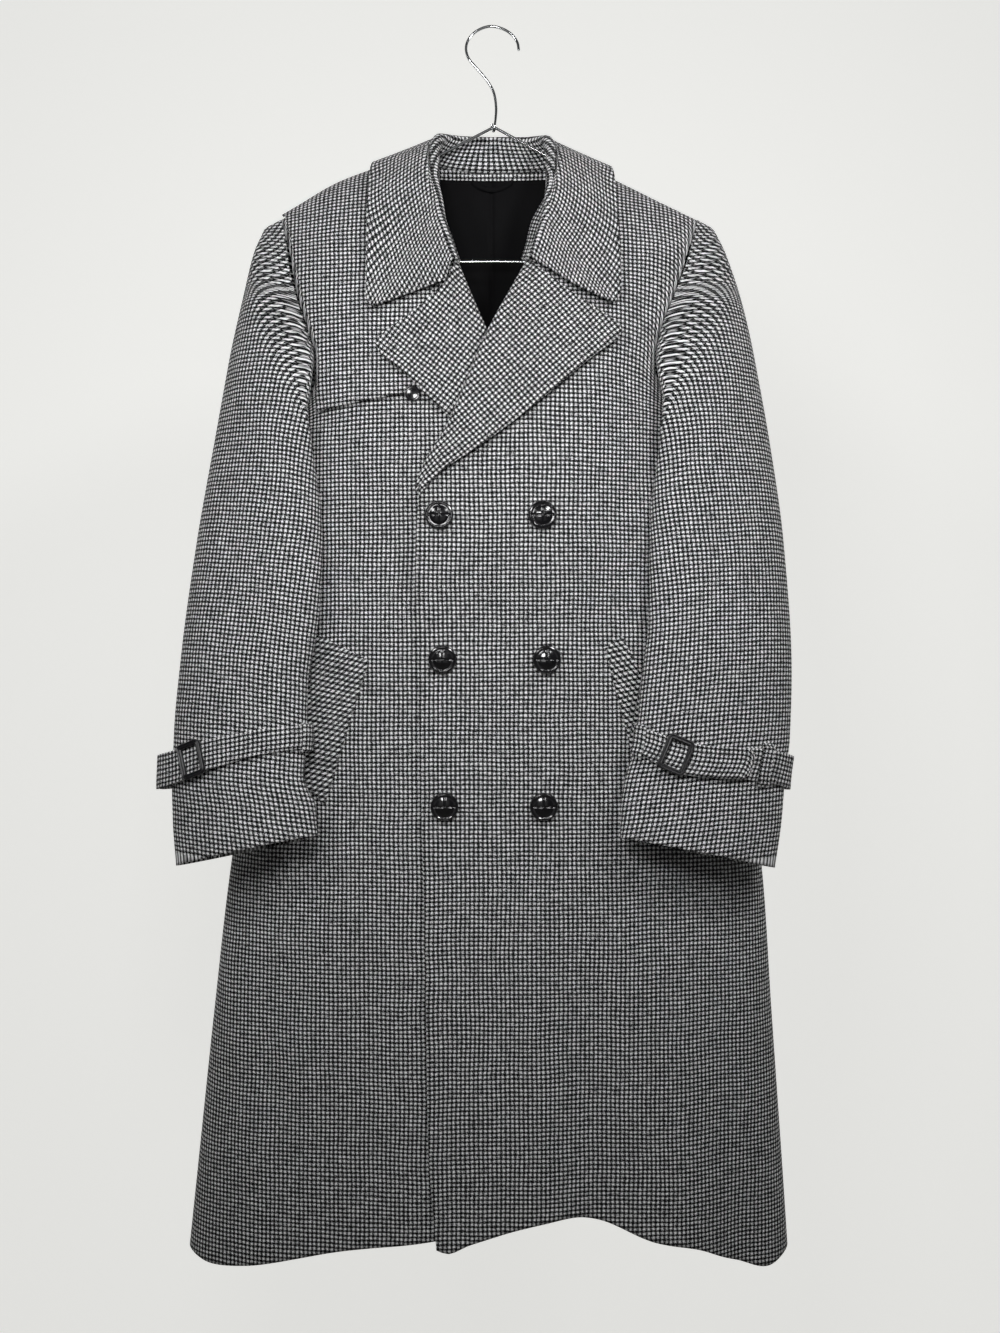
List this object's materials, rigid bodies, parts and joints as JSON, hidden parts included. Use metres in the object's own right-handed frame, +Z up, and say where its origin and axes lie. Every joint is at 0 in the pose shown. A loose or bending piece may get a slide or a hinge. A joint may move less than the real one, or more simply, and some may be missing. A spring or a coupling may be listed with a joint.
{
  "type": "overcoat on wire hanger",
  "caption": "Long double-breasted overcoat in a small broken check, with wide lapels, storm flap, welt pockets and buckled cuff straps, hanging on a chrome wire hanger.",
  "frame": {"origin": "underside of the hook's crown, where the hanger rests on its peg", "axes": "+Z up; -Y is the coat's front; +X is the wearer's left"},
  "size_m": [0.6398, 0.1626, 1.2797],
  "materials": {
    "coating": "brushed wool twill",
    "lining": "smooth satin weave",
    "horn": "polished",
    "chrome": "polished wire"
  },
  "bodies": {
    "root": {"front_right": "coating", "back_right": "coating", "front_left": "coating", "back_left": "coating", "lapel_right": "coating", "lapel_left": "coating", "storm_flap": "coating", "pocket_welt_right": "coating", "pocket_welt_left": "coating", "collar": "coating", "sleeve_right_top": "coating", "sleeve_right_under": "coating", "sleeve_left_top": "coating", "sleeve_left_under": "coating", "strap_right": "coating", "strap_loop_right_1": "coating", "strap_loop_right_2": "coating", "buckle_right": "horn", "strap_left": "coating", "strap_loop_left_1": "coating", "strap_loop_left_2": "coating", "buckle_left": "horn", "button_upper_right": "horn", "button_upper_left": "horn", "button_middle_right": "horn", "button_middle_left": "horn", "button_lower_right": "horn", "button_lower_left": "horn", "button_flap": "horn", "lining_back": "lining", "hanging_loop": "lining", "hanger_frame": "chrome", "hanger_hook": "chrome"}
  },
  "joints": []
}
